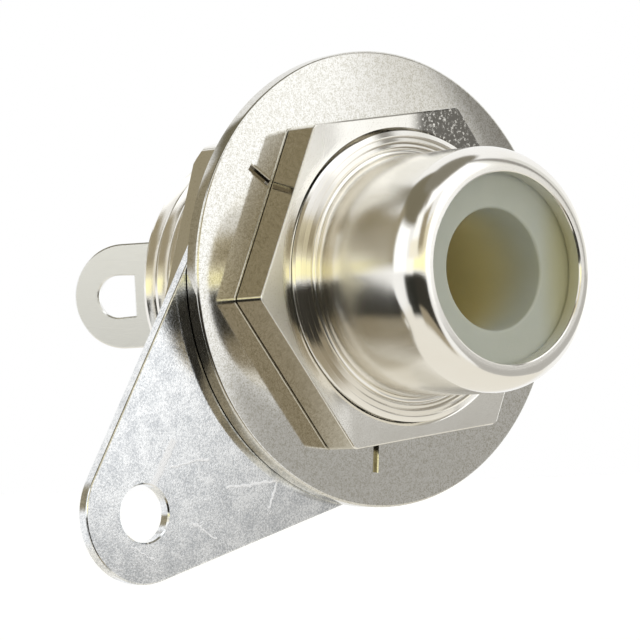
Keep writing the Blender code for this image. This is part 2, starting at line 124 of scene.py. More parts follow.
# Nuts. Each corner gets its own fine facets.
HEX_SIDES = 6
HEX_HALF_ANGLE = math.radians(30)
CORNER_STEPS = 6
CORNER_STEP_ANGLE = math.radians(0.3)
ANGLE_DIGITS = 9
FRONT_SPANNER_WIDTH = 11.1
FRONT_NUT_ANGLE = math.radians(7)
REAR_SPANNER_WIDTH = 11.3
REAR_NUT_ANGLE = math.radians(13.5)
REAR_NUT_FACE_RADIUS = 6.25
REAR_NUT_CHAMFER_SLOPE = math.tan(math.radians(60))
REAR_NUT_CHAMFER_TOP = 1.2
NUT_CORNER_RADIUS = 0.25
NUT_COUNTERSINK_WIDTH = 0.12
NUT_COUNTERSINK_DEPTH = 0.05
NUT_CLEARANCE = 0.015
NUT_EDGE = 0.05

# Washer and its slots.
WASHER_CLEARANCE = 0.10
WASHER_EDGE = 0.10
SLOT_COUNT = 3
SLOT_FIRST_ANGLE = math.radians(26)
SLOT_WIDTH = 0.2
SLOT_DEPTH = 0.14
SLOT_LENGTH = 0.96
SLOT_EDGE_MARGIN = 1.19
SLOT_FLARE = 0.03

# Ground lug.
LUG_RING_RADIUS = 7.05
LUG_REACH = 12.57
LUG_END_RADIUS = 2.36
LUG_HOLE_RADIUS = 0.97
LUG_ANGLE = math.radians(-141.5)

# Scratches on the lug: (start, end, half width), with (x, z) places in the frame, and the share of the
# half width that is scratched through.
LUG_SCRATCHES = (
    ((-9.45, -6.85), (-8.60, -5.45), 0.17),
    ((-8.70, -6.30), (-7.10, -6.05), 0.05),
    ((-6.40, -7.05), (-4.25, -6.88), 0.06),
    ((-4.25, -6.88), (-4.60, -7.75), 0.05),
    ((-7.90, -8.20), (-6.90, -8.75), 0.04),
    ((-10.4, -8.9), (-9.5, -9.4), 0.04),
)
SCRATCH_CORE = 0.4

# Solder tab.
TAB_THICKNESS = 0.28
TAB_HALF_WIDTH = 1.88
TAB_ANGLE = math.radians(182)
TAB_BEND_START = 1.35
TAB_BEND_ANGLE = math.radians(55)
TAB_BEND_RADIUS = 0.5
TAB_LEG_LENGTH = 5.2
TAB_BEND_STEPS = 16
TAIL_HOLE_RADIUS = 0.85
EYE_RADIUS = 0.76
EYE_FROM_TIP = 0.9
EYE_FLAT_OFFSET = 0.62
EYE_FLAT_HALF_WIDTH = 0.73

# Insulator. The dish in its face has a sloping rim, a turn and a flat floor round the hole.
INSULATOR_HOLE_RADIUS = 2.05
INSULATOR_HOLE_EDGE = 0.1
DISH_DEPTH = 0.12
DISH_RIM_WIDTH = 0.25
DISH_RIM_DROP = 0.045
DISH_TURN_WIDTH = 0.6
DISH_TURN_RISE = 0.012
DISH_FLOOR_WIDTH = 0.35
CONTACT_FLANGE_RADIUS = 2.65
CONTACT_FLANGE_ROOM = 0.5

# Edges of plates, from the face inward: (share drawn in, share away from the face) of the edge's width.
SHEET_EDGE = 0.05
ROLLED_EDGE = ((1.0, 0.0), (0.3, 0.3), (0.0, 1.0))
BROKEN_EDGE = ((1.0, 0.0), (0.0, 1.0))

# Marks on the surfaces: where each starts and where it is full, as depths below a piece's face, radii,
# or places in the frame. A fade is a width.
FACE_DEPTHS = (0.06, 0.02)
# Where the shoulder round the barrel's foot is made darker: outer and inner radii.
DARKER_SHOULDER_OUTER_RADII = (4.97, 4.66)
DARKER_SHOULDER_INNER_RADII = (4.35, 4.50)
BRUSHED_FADE = 0.2
STAIN_X = (0.2, 1.0)
STAIN_Z = (3.6, 4.3)
FROST_X = (-2.4, -4.0)
FROST_RADII = (5.2, 5.5)
# Painted shade in the washer's slots: depths where it starts and where it is full, and its fade at the slots'
# ends.
SLOT_SHADE_DEPTHS = (0.04, 0.08)
SLOT_SHADE_FADE = 0.1
# Painted olive shade on the insulator's right: x where it starts and where it is full.
OLIVE_SHADE_X = (1.8, 3.0)
# Painted light down the insulator's hole: depths where it starts and where it is full.
HOLE_LIGHT_DEPTHS = (0.5, 3.4)
HOLE_WALL_RADII = (INSULATOR_HOLE_RADIUS + 0.12, INSULATOR_HOLE_RADIUS + 0.01)

CUTTER_MARGIN = 0.5
MERGE_DISTANCE = 0.0001
SHARP_ANGLE = math.radians(20)
LARGE_FACE_WEIGHT = 100


def heights(node):
    """A node's lowest and highest place along the axis, in millimetres."""
    low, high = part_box(node)
    return -high[1] / MM, -low[1] / MM


def outer_radius(node):
    """The radius of a round node, in millimetres."""
    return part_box(node)[1][0] / MM


def arc(centre, radii, start_degrees, end_degrees, steps):
    """Points of an arc or a part of an ellipse, both ends included."""
    points = []
    for step in range(steps + 1):
        angle = math.radians(start_degrees + (end_degrees - start_degrees) * step / steps)
        points.append((centre[0] + radii[0] * math.cos(angle), centre[1] + radii[1] * math.sin(angle)))
    return points


def even_angles():
    """Equal steps round the axis."""
    return [math.tau * step / ROUND_STEPS for step in range(ROUND_STEPS)]


def polar(radius, angle, height):
    """The point at a radius, an angle and a height."""
    return radius * math.cos(angle), radius * math.sin(angle), height


def ring(angles, radius, height):
    """A row of points round the axis. The radius is a number or a function of the angle."""
    return [polar(radius(angle) if callable(radius) else radius, angle, height) for angle in angles]


def turn_point(point, angle):
    """An (x, y) point turned about the axis."""
    moved = Matrix.Rotation(angle, 2) @ Vector(point)
    return moved.x, moved.y


def to_frame(point):
    """A point in the socket's axes and millimetres, in the frame's axes and metres."""
    x, y, height = point
    return Vector((x, -height, y)) * MM


def soften(mesh):
    """Smooth shading that stops at sharp corners."""
    mesh.shade_smooth()
    mesh.set_sharp_from_angle(angle=SHARP_ANGLE)


def finish_mesh(name, bm):
    """Turns a bmesh in the socket's axes into an object in the frame's."""
    bmesh.ops.remove_doubles(bm, verts=bm.verts, dist=MERGE_DISTANCE)
    bmesh.ops.dissolve_degenerate(bm, edges=bm.edges, dist=MERGE_DISTANCE)
    for vert in bm.verts:
        vert.co = to_frame(vert.co)
    bmesh.ops.recalc_face_normals(bm, faces=bm.faces)
    mesh = bpy.data.meshes.new(name)
    bm.to_mesh(mesh)
    bm.free()
    soften(mesh)
    piece = bpy.data.objects.new(name, mesh)
    bpy.context.collection.objects.link(piece)
    return piece


def skin(name, rows, closed=True, last_climbing=0):
    """Joins rows of points round the axis, the last to the first if closed, and otherwise with caps.

    The rows up to last_climbing climb one pitch on their way round, so the last point of each of them
    meets the first point of the row that lies one pitch further on.
    """
    bm = bmesh.new()
    verts = [[bm.verts.new(point) for point in row] for row in rows]
    around = len(rows[0])
    bands = len(rows) if closed else len(rows) - 1
    for index in range(bands):
        above = (index + 1) % len(rows)
        for column in range(around):
            beside = (column + 1) % around
            lower, upper = index, above
            if beside == 0 and index < last_climbing:
                lower = min(index + THREAD_ROWS, last_climbing)
                upper = min(above + THREAD_ROWS, last_climbing)
            corners = (verts[index][column], verts[lower][beside], verts[upper][beside], verts[above][column])
            unique = list(dict.fromkeys(corners))
            if len(unique) > 2:
                bm.faces.new(unique)
    if not closed:
        bm.faces.new(verts[0])
        bm.faces.new(verts[-1])
    return finish_mesh(name, bm)


def turned(name, profile):
    """Spins a closed profile of (radius, height) points about the axis."""
    angles = even_angles()
    return skin(name, [ring(angles, radius, height) for radius, height in profile])


def plate_edges(bottom, top, width, curve):
    """The (inset, height) pairs of a plate's two edges, bottom first."""
    lower = [(width * inward, bottom + width * away) for inward, away in curve]
    upper = [(width * inward, top - width * away) for inward, away in reversed(curve)]
    return lower + upper


def hole_edges(bottom, top):
    """The (widening, height) pairs of a hole's cutter, which flares at both faces of the sheet."""
    inside = plate_edges(bottom, top, SHEET_EDGE, BROKEN_EDGE)
    return [(SHEET_EDGE, bottom - CUTTER_MARGIN)] + inside + [(SHEET_EDGE, top + CUTTER_MARGIN)]


def plate(name, outline, edges):
    """A plate or cutter. The outline is a function that gives (x, y) points for an edge's distance."""
    rows = [[(x, y, height) for x, y in outline(distance)] for distance, height in edges]
    return skin(name, rows, closed=False)


def carve(piece, cutters):
    """Cuts the cutters out of a piece, keeps the result in its mesh and removes the cutters."""
    for cutter in cutters:
        boolean = piece.modifiers.new(cutter.name, "BOOLEAN")
        boolean.operation = "DIFFERENCE"
        boolean.solver = "EXACT"
        boolean.object = cutter
    bpy.context.view_layer.update()
    carved = bpy.data.meshes.new_from_object(piece.evaluated_get(bpy.context.evaluated_depsgraph_get()))
    piece.modifiers.clear()
    piece.data = carved
    soften(carved)
    for cutter in cutters:
        bpy.data.objects.remove(cutter, do_unlink=True)


def even_shading(piece):
    """Lets the large faces rule the shading, so that narrow edges look rolled and flats look flat."""
    weighted = piece.modifiers.new("even shading", "WEIGHTED_NORMAL")
    weighted.keep_sharp = True
    weighted.weight = LARGE_FACE_WEIGHT


def thread_cut(angle, along):
    """How deep the right-hand thread is cut at an angle and a length along it, from 0 to 1."""
    share = (along / PITCH - angle / math.tau) % 1.0 * THREAD_ROWS
    index = int(share)
    here = THREAD_PROFILE[index % THREAD_ROWS]
    after = THREAD_PROFILE[(index + 1) % THREAD_ROWS]
    return here + (after - here) * (share - index)


def thread_block(angles, bottom, top, crest):
    """Rows of the shell's thread, each of which climbs one pitch, held between two flat ends.

    At its bottom the thread starts from its root, on a chamfer of 45 degrees.
    """
    spacing = PITCH / THREAD_ROWS
    root = crest - THREAD_DEPTH
    count = math.ceil((top - bottom + PITCH) / spacing)
    rows = []
    for index in range(count + 1):
        row = []
        for angle in angles:
            climbed = bottom - PITCH + index * spacing + PITCH * angle / math.tau
            height = min(max(climbed, bottom), top)
            radius = crest - THREAD_DEPTH * thread_cut(angle, height - bottom)
            radius = min(radius, root + (height - bottom))
            row.append(polar(radius, angle, height))
        rows.append(row)
    return rows


def make_shell():
    """Nose, barrel, threaded body and rolled rear rim, turned in one piece."""
    angles = even_angles()
    bottom, top = heights("shell")
    crest = outer_radius("shell")
    barrel_top = top - NOSE_LENGTH
    thread_top = barrel_top - BARREL_LENGTH
    land = LIP_RADIUS + LIP_LAND
    lip_bottom = top - LIP_THICKNESS
    rim_top = bottom + STAKED_RIM_THICKNESS
    rim_radius = SHELL_BORE_RADIUS - STAKED_RIM_OVERLAP

    thread = thread_block(angles, bottom, thread_top - THREAD_END_DROP, crest)
    shoulder = [(radius, thread_top - drop) for radius, drop in SHOULDER_RINGS]
    bands = range(1, BARREL_BANDS)
    barrel = [(BARREL_RADIUS, thread_top + BARREL_LENGTH * band / BARREL_BANDS) for band in bands]
    nose = arc((land, barrel_top), (BARREL_RADIUS - land, NOSE_LENGTH), 0, NOSE_ARC_DEGREES, NOSE_STEPS)
    lip = [
        (land - LIP_EDGE / 2, top),
        (LIP_RADIUS + LIP_EDGE, top),
        (LIP_RADIUS + LIP_EDGE / 3, top - LIP_EDGE / 3),
        (LIP_RADIUS, top - LIP_EDGE),
        (LIP_RADIUS, lip_bottom),
        (SHELL_BORE_RADIUS, lip_bottom),
        (SHELL_BORE_RADIUS, rim_top),
        (rim_radius, rim_top),
        (rim_radius, bottom + STAKED_RIM_EDGE),
        (rim_radius + STAKED_RIM_EDGE, bottom),
    ]
    rows = thread + [ring(angles, radius, height) for radius, height in shoulder + barrel + nose + lip]
    return skin("shell_turned", rows, last_climbing=len(thread) - 1)


def make_insulator():
    """The moulded sleeve with its dished face."""
    bottom, top = heights("insulator")
    hole = INSULATOR_HOLE_RADIUS
    edge = INSULATOR_HOLE_EDGE
    floor = top - DISH_DEPTH
    flange_room = bottom + CONTACT_FLANGE_ROOM
    profile = [
        (CONTACT_FLANGE_RADIUS, bottom),
        (outer_radius("insulator"), bottom),
        (outer_radius("insulator"), top),
        (LIP_RADIUS, top),
        (LIP_RADIUS - DISH_RIM_WIDTH, top - DISH_RIM_DROP),
        (hole + DISH_TURN_WIDTH, floor + DISH_TURN_RISE),
        (hole + DISH_FLOOR_WIDTH, floor),
        *arc((hole + edge, floor - edge), (edge, edge), 90, 180, HOLE_EDGE_STEPS),
        (hole, flange_room),
        (CONTACT_FLANGE_RADIUS, flange_room),
    ]
    return turned("insulator_moulded", profile)


def hexagon_angles(turn):
    """Equal steps round the axis with more of them round each corner of a hexagon."""
    angles = {round(angle, ANGLE_DIGITS) for angle in even_angles()}
    for corner in range(HEX_SIDES):
        middle = turn + corner * math.tau / HEX_SIDES
        for step in range(-CORNER_STEPS, CORNER_STEPS + 1):
            angles.add(round((middle + CORNER_STEP_ANGLE * step) % math.tau, ANGLE_DIGITS))
    return sorted(angles)


def hexagon_radius(spanner_width, turn):
    """A function that gives the distance from the axis to a rounded hexagon's outline."""
    apothem = spanner_width / 2
    centre_distance = (apothem - NUT_CORNER_RADIUS) / math.cos(HEX_HALF_ANGLE)

    def radius(angle):
        from_corner = (angle - turn + HEX_HALF_ANGLE) % (2 * HEX_HALF_ANGLE) - HEX_HALF_ANGLE
        flat = apothem / math.cos(HEX_HALF_ANGLE - abs(from_corner))
        sine = centre_distance * math.sin(from_corner)
        reach = max(NUT_CORNER_RADIUS ** 2 - sine ** 2, 0.0)
        rounded = centre_distance * math.cos(from_corner) + math.sqrt(reach)
        tangent = math.atan2(NUT_CORNER_RADIUS * math.sin(HEX_HALF_ANGLE),
                             centre_distance + NUT_CORNER_RADIUS * math.cos(HEX_HALF_ANGLE))
        return rounded if abs(from_corner) < tangent else flat

    return radius


def bore_row(angles, minor, depth, height):
    """A row of a nut's inner thread, whose grooves are cut to a depth."""
    return ring(angles, lambda angle: minor + depth * thread_cut(angle, height), height)


def bore_rows(angles, bottom, top):
    """Rows of a nut's inner thread, from its top countersink down to its bottom one."""
    minor = outer_radius("shell") + NUT_CLEARANCE
    start, end = bottom + NUT_COUNTERSINK_DEPTH, top - NUT_COUNTERSINK_DEPTH
    count = math.ceil((end - start) * THREAD_ROWS / PITCH)
    rows = [ring(angles, minor + NUT_COUNTERSINK_WIDTH, top)]
    for index in range(count, -1, -1):
        height = start + (end - start) * index / count
        run_out = min((height - start) / PITCH, (end - height) / PITCH, 1.0)
        rows.append(bore_row(angles, minor, run_out * NUT_THREAD_DEPTH, height))
    rows.append(ring(angles, minor + NUT_COUNTERSINK_WIDTH, bottom))
    return rows


def chamfer_rows(angles, side, bottom):
    """Rows of a nut's bottom edge whose corners are turned off, from its face up to its flats."""
    rows = [ring(angles, lambda angle: min(side(angle), REAR_NUT_FACE_RADIUS) - NUT_EDGE, bottom)]
    for share in (0.0, 0.5, 1.0):
        row = []
        for angle in angles:
            cut = max(side(angle) - REAR_NUT_FACE_RADIUS, 0.0)
            radius = min(side(angle), REAR_NUT_FACE_RADIUS + cut * share)
            height = bottom + max(cut * share * REAR_NUT_CHAMFER_SLOPE, NUT_EDGE)
            row.append(polar(radius, angle, height))
        rows.append(row)
    rows.append(ring(angles, side, bottom + REAR_NUT_CHAMFER_TOP))
    return rows


def make_nut(name, node, spanner_width, turn, chamfered):
    """A hexagon nut with rolled edges and a threaded bore, its rear corners turned off if chamfered."""
    bottom, top = heights(node)
    angles = hexagon_angles(turn)
    side = hexagon_radius(spanner_width, turn)
    edges = plate_edges(bottom, top, NUT_EDGE, ROLLED_EDGE)
    rows = [ring(angles, lambda angle: side(angle) - inset, height) for inset, height in edges]
    if chamfered:
        rows[:len(ROLLED_EDGE)] = chamfer_rows(angles, side, bottom)
    nut = skin(name, rows + bore_rows(angles, bottom, top))
    even_shading(nut)
    return nut


def slot_cutter(index, outer, top):
    """A radial slot's cutter, which is a little wider at the washer's face."""
    angle = SLOT_FIRST_ANGLE + index * math.tau / SLOT_COUNT
    inner = outer - SLOT_LENGTH

    def outline(widen):
        half = SLOT_WIDTH / 2 + widen
        corners = [(inner, -half), (outer, -half), (outer, half), (inner, half)]
        return [turn_point(corner, angle) for corner in corners]

    edges = (
        (0.0, top - SLOT_DEPTH),
        (0.0, top - SLOT_FLARE),
        (SLOT_FLARE, top),
        (SLOT_FLARE, top + CUTTER_MARGIN),
    )
    return plate(f"slot_{index + 1}", outline, edges)


def make_washer():
    """The flat washer with rolled edges and three short radial slots."""
    bottom, top = heights("flat_washer")
    radius = outer_radius("flat_washer")
    bore = outer_radius("shell") + WASHER_CLEARANCE
    wide, narrow = WASHER_EDGE, WASHER_EDGE / 3
    profile = [
        (bore, bottom),
        (radius - narrow, bottom),
        (radius, bottom + narrow),
        *arc((radius - wide, top - wide), (wide, wide), 0, 90, WASHER_EDGE_STEPS),
        (bore + narrow, top),
        (bore, top - narrow),
    ]
    washer = turned("washer_flat", profile)
    carve(washer, [slot_cutter(index, radius - SLOT_EDGE_MARGIN, top) for index in range(SLOT_COUNT)])
    even_shading(washer)
    return washer


def lug_outline(inset):
    """The teardrop outline, drawn in by a distance all round."""
    taper = math.degrees(math.asin((LUG_RING_RADIUS - LUG_END_RADIUS) / LUG_REACH))
    flank = 90 - taper
    big, small = LUG_RING_RADIUS - inset, LUG_END_RADIUS - inset
    points = arc((0.0, 0.0), (big, big), flank, 360 - flank, 2 * HOLE_STEPS)
    points += arc((LUG_REACH, 0.0), (small, small), -flank, flank, HOLE_STEPS // 2)
    return [turn_point(point, LUG_ANGLE) for point in points]


def round_cutter(name, centre_x, radius, steps, bottom, top, angle):
    """A round hole's cutter, a little wider at both faces of the sheet."""
    def outline(widen):
        circle = arc((centre_x, 0.0), (radius + widen, radius + widen), 0, 360, steps)[:-1]
        return [turn_point(point, angle) for point in circle]

    return plate(name, outline, hole_edges(bottom, top))


def make_lug():
    """The teardrop ground lug, with sheared edges that are slightly rolled."""
    bottom, top = heights("ground_lug")
    bore = outer_radius("shell") + WASHER_CLEARANCE
    lug = plate("lug_stamped", lug_outline, plate_edges(bottom, top, SHEET_EDGE, ROLLED_EDGE))
    carve(lug, [
        round_cutter("lug_bore", 0.0, bore, ROUND_STEPS, bottom, top, LUG_ANGLE),
        round_cutter("lug_hole", LUG_REACH, LUG_HOLE_RADIUS, HOLE_STEPS, bottom, top, LUG_ANGLE),
    ])
    even_shading(lug)
    return lug


def tab_outline(length, inset):
    """The flat blank's outline, round at both ends, drawn in by a distance all round."""
    half = TAB_HALF_WIDTH - inset
    base = arc((0.0, 0.0), (half, half), 90, 270, HOLE_STEPS // 2)
    tip = arc((length - TAB_HALF_WIDTH, 0.0), (half, half), -90, 90, HOLE_STEPS // 2)
    return base + tip


def eye_outline(length, widen):
    """The D-shaped eye's outline, let out by a distance all round."""
    centre = length - EYE_FROM_TIP - EYE_RADIUS
    radius = EYE_RADIUS + widen
    flat_x = centre - EYE_FLAT_OFFSET - widen
    half = EYE_FLAT_HALF_WIDTH + widen
    return arc((centre, 0.0), (radius, radius), -90, 90, HOLE_STEPS // 2) + [(flat_x, half), (flat_x, -half)]


def bend_blank(piece, top):
    """Rolls the flat blank round its bend line, away from its rivet."""
    bend_length = TAB_BEND_ANGLE * TAB_BEND_RADIUS
    bm = bmesh.new()
    bm.from_mesh(piece.data)
    for step in range(TAB_BEND_STEPS + 1):
        station = TAB_BEND_START + bend_length * step / TAB_BEND_STEPS
        geometry = bm.verts[:] + bm.edges[:] + bm.faces[:]
        place = to_frame((station, 0.0, 0.0))
        bmesh.ops.bisect_plane(bm, geom=geometry, plane_co=place, plane_no=(1.0, 0.0, 0.0))
    pivot_height = top - TAB_THICKNESS / 2 - TAB_BEND_RADIUS
    for vert in bm.verts:
        x, y, height = vert.co.x / MM, vert.co.z / MM, -vert.co.y / MM
        along = x - TAB_BEND_START
        if along > 0.0:
            angle = min(along / TAB_BEND_RADIUS, TAB_BEND_ANGLE)
            straight = max(along - bend_length, 0.0)
            radius = height - pivot_height
            x = TAB_BEND_START + radius * math.sin(angle) + straight * math.cos(angle)
            height = pivot_height + radius * math.cos(angle) - straight * math.sin(angle)
        x, y = turn_point((x, y), TAB_ANGLE)
        vert.co = to_frame((x, y, height))
    bmesh.ops.recalc_face_normals(bm, faces=bm.faces)
    bm.to_mesh(piece.data)
    bm.free()
    soften(piece.data)


def make_tab():
    """The solder tab, stamped flat with its two holes and then bent."""
    top = heights("solder_tab")[1]
    bottom = top - TAB_THICKNESS
    length = TAB_BEND_START + TAB_BEND_ANGLE * TAB_BEND_RADIUS + TAB_LEG_LENGTH
    edges = plate_edges(bottom, top, SHEET_EDGE, BROKEN_EDGE)
    tab = plate("tab_bent", lambda inset: tab_outline(length, inset), edges)
    carve(tab, [
        plate("eye", lambda widen: eye_outline(length, widen), hole_edges(bottom, top)),
        round_cutter("rivet_hole", 0.0, TAIL_HOLE_RADIUS, HOLE_STEPS, bottom, top, 0.0),
    ])
    bend_blank(tab, top)
    even_shading(tab)
    return tab


class Nodes:
    """Builds a material or world from short calls."""

    def __init__(self, tree):
        self.tree = tree

    def add(self, kind, **values):
        """A new node with some of its settings."""
        node = self.tree.nodes.new(kind)
        for name, value in values.items():
            setattr(node, name, value)
        return node

    def feed(self, socket, value):
        """Links a socket to another, or sets it."""
        if isinstance(value, bpy.types.NodeSocket):
            self.tree.links.new(value, socket)
        elif isinstance(value, tuple) and len(value) == 3 and socket.type == "RGBA":
            socket.default_value = (*value, 1.0)
        else:
            socket.default_value = value

    def math(self, operation, first, second=None):
        """The result of a sum or function of one or two values."""
        node = self.add("ShaderNodeMath", operation=operation)
        self.feed(node.inputs[0], first)
        if second is not None:
            self.feed(node.inputs[1], second)
        return node.outputs[0]

    def times(self, first, *others):
        """The product of some values."""
        for other in others:
            first = self.math("MULTIPLY", first, other)
        return first

    def plus(self, first, *others):
        """The sum of some values."""
        for other in others:
            first = self.math("ADD", first, other)
        return first

    def length(self, first, second):
        """The length of a run with two sides."""
        return self.math("SQRT", self.plus(self.times(first, first), self.times(second, second)))

    def blend(self, first, second, share):
        """A value made of two, with the second's share of it."""
        return self.plus(self.times(first, 1.0 - share), self.times(second, share))

    def step(self, value, start, end):
        """0 below start, 1 above end, smooth between them. It falls if start is above end."""
        node = self.add("ShaderNodeMapRange", interpolation_type="SMOOTHSTEP")
        self.feed(node.inputs["Value"], value)
        if start <= end:
            self.feed(node.inputs["From Min"], start)
            self.feed(node.inputs["From Max"], end)
            return node.outputs["Result"]
        self.feed(node.inputs["From Min"], end)
        self.feed(node.inputs["From Max"], start)
        self.feed(node.inputs["To Min"], 1.0)
        self.feed(node.inputs["To Max"], 0.0)
        return node.outputs["Result"]

    def scale(self, value, low, high):
        """Turns 0 to 1 into low to high."""
        node = self.add("ShaderNodeMapRange")
        self.feed(node.inputs["Value"], value)
        self.feed(node.inputs["To Min"], low)
        self.feed(node.inputs["To Max"], high)
        return node.outputs["Result"]

    def mix(self, factor, first, second):
        """A colour that goes from the first to the second."""
        node = self.add("ShaderNodeMix", data_type="RGBA")
        self.feed(node.inputs["Factor"], factor)
        self.feed(node.inputs[6], first)
        self.feed(node.inputs[7], second)
        return node.outputs[2]

    def place(self):
        """Where a point of a piece lies in the frame at rest, in millimetres."""
        where = self.add("ShaderNodeTexCoord").outputs["Object"]
        return self.stretch(where, (1 / MM, 1 / MM, 1 / MM))

    def stretch(self, vector, factors):
        """A vector with each of its numbers times its own factor."""
        node = self.add("ShaderNodeVectorMath", operation="MULTIPLY")
        self.feed(node.inputs[0], vector)
        node.inputs[1].default_value = factors
        return node.outputs[0]

    def split(self, vector):
        """A vector's three numbers, named X, Y and Z."""
        node = self.add("ShaderNodeSeparateXYZ")
        self.feed(node.inputs[0], vector)
        return node.outputs

    def join(self, x, y, z):
        """A vector made of three numbers."""
        node = self.add("ShaderNodeCombineXYZ")
        for socket, value in zip(node.inputs, (x, y, z)):
            self.feed(socket, value)
        return node.outputs[0]

    def noise(self, vector, scale, detail=3.0, roughness=0.5, distortion=0.0):
        """Soft noise from 0 to 1, finer with a larger scale."""
        node = self.add("ShaderNodeTexNoise")
        self.feed(node.inputs["Vector"], vector)
        node.inputs["Scale"].default_value = scale
        node.inputs["Detail"].default_value = detail
        node.inputs["Roughness"].default_value = roughness
        node.inputs["Distortion"].default_value = distortion
        return node.outputs["Fac"]

    def bump(self, height, distance, strength):
        """A normal tilted by a relief, whose full height is a distance in millimetres."""
        node = self.add("ShaderNodeBump")
        self.feed(node.inputs["Height"], height)
        node.inputs["Distance"].default_value = distance * MM
        node.inputs["Strength"].default_value = strength
        return node.outputs["Normal"]

    def shade(self, shader, colour, roughness, normal):
        """Sets what varies over a surface."""
        self.feed(shader.inputs["Base Color"], colour)
        self.feed(shader.inputs["Roughness"], roughness)
        self.feed(shader.inputs["Normal"], normal)


def new_material(name, **constants):
    """An empty Principled material with its constants, its node builder and its shader."""
    material = bpy.data.materials.new(name)
    material.use_nodes = True
    nodes = Nodes(material.node_tree)
    shader = material.node_tree.nodes["Principled BSDF"]
    for socket, value in constants.items():
        nodes.feed(shader.inputs[socket.replace("_", " ")], value)
    return material, nodes, shader


def axis_coordinates(nodes):
    """The distance from the axis and the height along it, in millimetres."""
    spot = nodes.split(nodes.place())
    return nodes.length(spot["X"], spot["Z"]), nodes.times(spot["Y"], -1.0)


def below_face(nodes, node, start, full):
    """A mask by the depth below a node's face: 0 at the start and 1 where it is full."""
    face = heights(node)[1]
    return nodes.step(axis_coordinates(nodes)[1], face - start, face - full)


def turning_marks(nodes, fineness):
    """Fine rings that a lathe tool leaves, broken a little round the axis."""
    spot = nodes.split(nodes.place())
    radius, height = axis_coordinates(nodes)
    angle = nodes.math("ARCTAN2", spot["Z"], spot["X"])
    across = nodes.join(nodes.times(radius, fineness), nodes.times(height, fineness), nodes.times(angle, 0.8))
    return nodes.noise(across, 1.0, detail=4.0, roughness=0.6)


def turned_sheen(nodes, shader, amount):
    """Spreads reflections across the tool's rings and keeps them crisp along the rings."""
    quarter_turn = 0.25
    tangent = nodes.add("ShaderNodeTangent", direction_type="RADIAL", axis="Y")
    nodes.feed(shader.inputs["Tangent"], tangent.outputs[0])
    shader.inputs["Anisotropic"].default_value = amount
    shader.inputs["Anisotropic Rotation"].default_value = quarter_turn


def nickel_material():
    """Bright nickel over turned brass, with fine tool rings, and a little darker and browner over the
    shoulder at the barrel's foot.
    """
    material, nodes, shader = new_material("nickel_bright", Metallic=1.0)
    turned_sheen(nodes, shader, 0.9)
    place = nodes.place()
    radius, height = axis_coordinates(nodes)
    clouds = nodes.noise(place, 0.9, detail=4.0)
    grain = nodes.noise(place, 26.0, detail=2.0)
    colour = nodes.mix(clouds, (0.87, 0.845, 0.785), (0.92, 0.905, 0.865))
    # The shoulder round the barrel's foot is made a little darker and browner.
    at_foot = nodes.times(nodes.step(radius, *DARKER_SHOULDER_OUTER_RADII), nodes.step(radius, *DARKER_SHOULDER_INNER_RADII))
    colour = nodes.mix(nodes.times(at_foot, 0.2), colour, (0.42, 0.37, 0.27))
    barrel_end = heights("shell")[1] - NOSE_LENGTH
    barrel_start = barrel_end - BARREL_LENGTH
    brushed = nodes.times(
        nodes.step(height, barrel_start, barrel_start + BRUSHED_FADE),
        nodes.step(height, barrel_end + BRUSHED_FADE / 2, barrel_end - 2 * BRUSHED_FADE),
    )
    rough = nodes.plus(0.10, nodes.times(brushed, 0.03), nodes.scale(grain, -0.02, 0.04))
    relief = nodes.plus(turning_marks(nodes, 12.0), grain)
    nodes.shade(shader, colour, rough, nodes.bump(relief, 0.0012, 0.6))
    return material


def nut_material():
    """Nickel with bright flats and fine pits. The front nut's face has a dark patch and a frosted corner."""
    material, nodes, shader = new_material("nickel_nut", Metallic=1.0)
    place = nodes.place()
    spot = nodes.split(place)
    clouds = nodes.noise(place, 0.7, detail=5.0)
    speckle = nodes.noise(place, 22.0, detail=3.0, roughness=0.7)
    colour = nodes.mix(clouds, (0.84, 0.82, 0.755), (0.90, 0.885, 0.845))
    pits = nodes.step(speckle, 0.56, 0.68)
    colour = nodes.mix(nodes.times(pits, 0.5), colour, (0.42, 0.37, 0.28))
    on_face = below_face(nodes, "front_nut", *FACE_DEPTHS)
    broken = nodes.step(nodes.noise(place, 10.0, detail=5.0, roughness=0.7), 0.32, 0.48)
    at_corner = nodes.times(nodes.step(spot["X"], *STAIN_X), nodes.step(spot["Z"], *STAIN_Z))
    colour = nodes.mix(nodes.times(at_corner, on_face, broken, 0.92), colour, (0.07, 0.065, 0.055))
    by_radius = nodes.step(axis_coordinates(nodes)[0], *FROST_RADII)
    frosted = nodes.times(by_radius, nodes.step(spot["X"], *FROST_X), on_face)
    rough = nodes.plus(nodes.scale(clouds, 0.06, 0.11), nodes.times(frosted, 0.24))
    relief = nodes.times(speckle, nodes.plus(1.0, nodes.times(frosted, 9.0)))
    nodes.shade(shader, colour, rough, nodes.bump(relief, 0.0014, 0.6))
    return material


